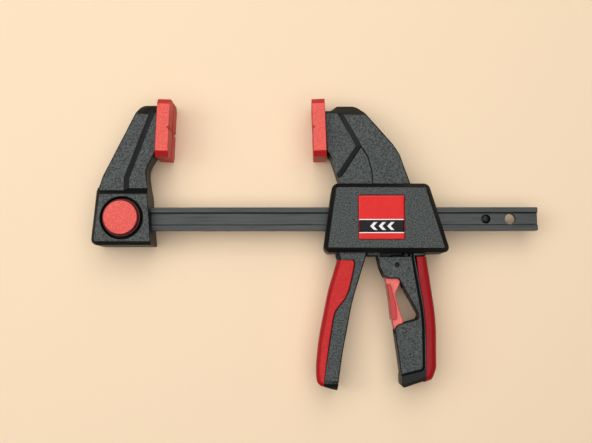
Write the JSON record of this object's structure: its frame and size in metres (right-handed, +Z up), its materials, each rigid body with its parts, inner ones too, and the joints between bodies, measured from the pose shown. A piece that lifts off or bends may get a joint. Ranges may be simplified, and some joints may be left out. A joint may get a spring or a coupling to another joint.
{
  "type": "quick release bar clamp",
  "caption": "One-handed bar clamp: fixed jaw on a grooved steel rail, moving jaw with pistol grip, pump lever and release trigger, padded jaws.",
  "frame": {"origin": "centre of the clamp's outline, on the surface that it lies on", "axes": "+X along the rail from the fixed jaw to the free end, +Y from the handles to the jaws, +Z up out of the surface, towards the button and label side"},
  "size_m": [0.3734, 0.2428, 0.0405],
  "materials": {
    "glass_filled_nylon": "fine spark-eroded texture, black",
    "guide_plastic": "smooth natural acetal",
    "pad_red": "soft matt red",
    "grip_red": "satin red soft grip",
    "trigger_red": "satin red",
    "label_red": "glossy printed",
    "rail_steel": "blackened, satin",
    "plated_steel": "bright zinc plated",
    "spring_steel": "drawn wire, oiled"
  },
  "bodies": {
    "rail_bar": {"rail": "rail_steel", "stop_rivet": "plated_steel", "fixed_jaw": "glass_filled_nylon", "fixed_pad": "pad_red", "button_spring": "spring_steel"},
    "moving_jaw": {"front_body": "glass_filled_nylon", "rear_body": "glass_filled_nylon", "body_screws": "plated_steel", "front_cover": "glass_filled_nylon", "rear_cover": "glass_filled_nylon", "cover_screws": "plated_steel", "label_plate": "label_red", "moving_pad": "pad_red", "inner_guide": "guide_plastic", "outer_guide": "guide_plastic", "rear_grip": "grip_red", "lever_pivot_pin": "plated_steel", "trigger_pin": "plated_steel", "drive_spring": "spring_steel", "brake_spring": "spring_steel"},
    "lever": {"pump_lever": "glass_filled_nylon", "lever_grip": "grip_red", "drive_pin": "plated_steel"},
    "drive": {"drive_plates": "plated_steel"},
    "trigger": {"release_trigger": "trigger_red"},
    "brake": {"brake_plate": "plated_steel"},
    "lock_button": {"push_button": "pad_red", "lock_yoke": "plated_steel", "lock_pin": "plated_steel"}
  },
  "joints": [
    {"name": "jaw_slide", "type": "slide", "parent": "rail_bar", "child": "moving_jaw", "axis": [1, 0, 0], "range_m": [-0.118, 0.037]},
    {"name": "lever_squeeze", "type": "hinge", "parent": "moving_jaw", "child": "lever", "pos_m": [0.03344, 0.03929, 0.019], "axis": [0, 0, 1], "range_deg": [0, 18], "stiffness_Nm_per_rad": 1.5},
    {"name": "drive_step", "type": "slide", "parent": "moving_jaw", "child": "drive", "axis": [1, 0, 0], "range_m": [0, 0.0108], "deforming": ["drive_spring"]},
    {"name": "trigger_pull", "type": "hinge", "parent": "moving_jaw", "child": "trigger", "pos_m": [0.06774, -0.01801, 0.019], "axis": [0, 0, 1], "range_deg": [0, 12], "stiffness_Nm_per_rad": 0.3},
    {"name": "brake_release", "type": "hinge", "parent": "moving_jaw", "child": "brake", "pos_m": [0.07944, 0.03529, 0.019], "axis": [0, 0, 1], "range_deg": [0, 1.5], "deforming": ["brake_spring"]},
    {"name": "button_press", "type": "slide", "parent": "rail_bar", "child": "lock_button", "axis": [0, 0, -1], "range_m": [0, 0.005], "stiffness_N_per_m": 600, "deforming": ["button_spring"]}
  ],
  "couplings": [
    {"joint": "drive_step", "follows": "lever_squeeze", "m_per_rad": 0.034},
    {"joint": "brake_release", "follows": "trigger_pull", "ratio": 0.12}
  ]
}
